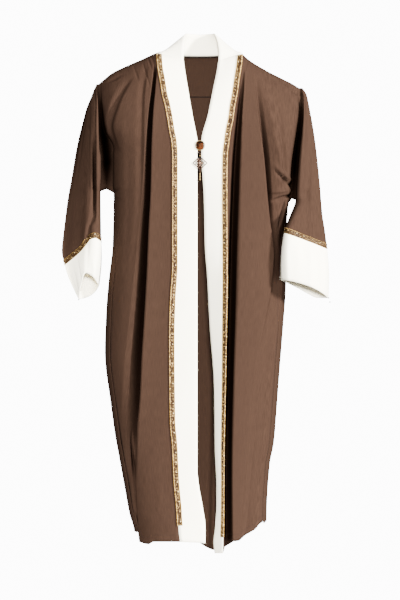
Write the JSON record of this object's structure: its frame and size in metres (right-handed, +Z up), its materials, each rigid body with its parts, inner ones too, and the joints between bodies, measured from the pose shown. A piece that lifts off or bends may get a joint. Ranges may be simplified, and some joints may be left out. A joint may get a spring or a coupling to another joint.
{
  "type": "abaya",
  "caption": "Open-front ankle-length abaya in brown satin with cream bands, gold braid on the seams, drop sleeves with slanted cuffs and a button with a swinging pendant.",
  "frame": {"origin": "midway between the two neck points, where the wearer's shoulders carry the cloth", "axes": "+Z up, -Y the way the wearer faces, +X to the wearer's left"},
  "size_m": [0.704, 0.2141, 1.3711],
  "materials": {
    "satin": "brown crepe-back satin with a soft sheen",
    "crepe": "matt cream crepe",
    "braid": "gold sequin braid",
    "resin": "polished amber-brown resin",
    "gold": "rose-gold plate"
  },
  "bodies": {
    "garment": {"back": "satin", "front_right": "satin", "front_left": "satin", "sleeve_right": "satin", "sleeve_left": "satin", "band_right": "crepe", "band_left": "crepe", "band_neck": "crepe", "cuff_right": "crepe", "cuff_left": "crepe", "braid_right": "braid", "braid_left": "braid", "braid_neck": "braid", "cuff_braid_right": "braid", "cuff_braid_left": "braid", "button": "resin", "button_rim": "gold", "loop": "gold"},
    "pendant": {"pendant_eye": "gold", "pendant_bead": "gold", "pendant_frame": "gold", "pendant_tip": "gold"},
    "tail": {"tail_eye": "gold", "tail_bead_1": "gold", "tail_bead_2": "gold", "tail_bead_3": "gold", "tail_bead_4": "gold", "tail_bead_5": "gold"}
  },
  "joints": [
    {"name": "pendant_swing", "type": "hinge", "parent": "garment", "child": "pendant", "pos_m": [0, -0.1118, -0.2689], "axis": [0, 1, 0], "range_deg": [-60, 60]},
    {"name": "tail_swing", "type": "hinge", "parent": "pendant", "child": "tail", "pos_m": [0, -0.1118, -0.3168], "axis": [0, 1, 0], "range_deg": [-50, 50]}
  ]
}
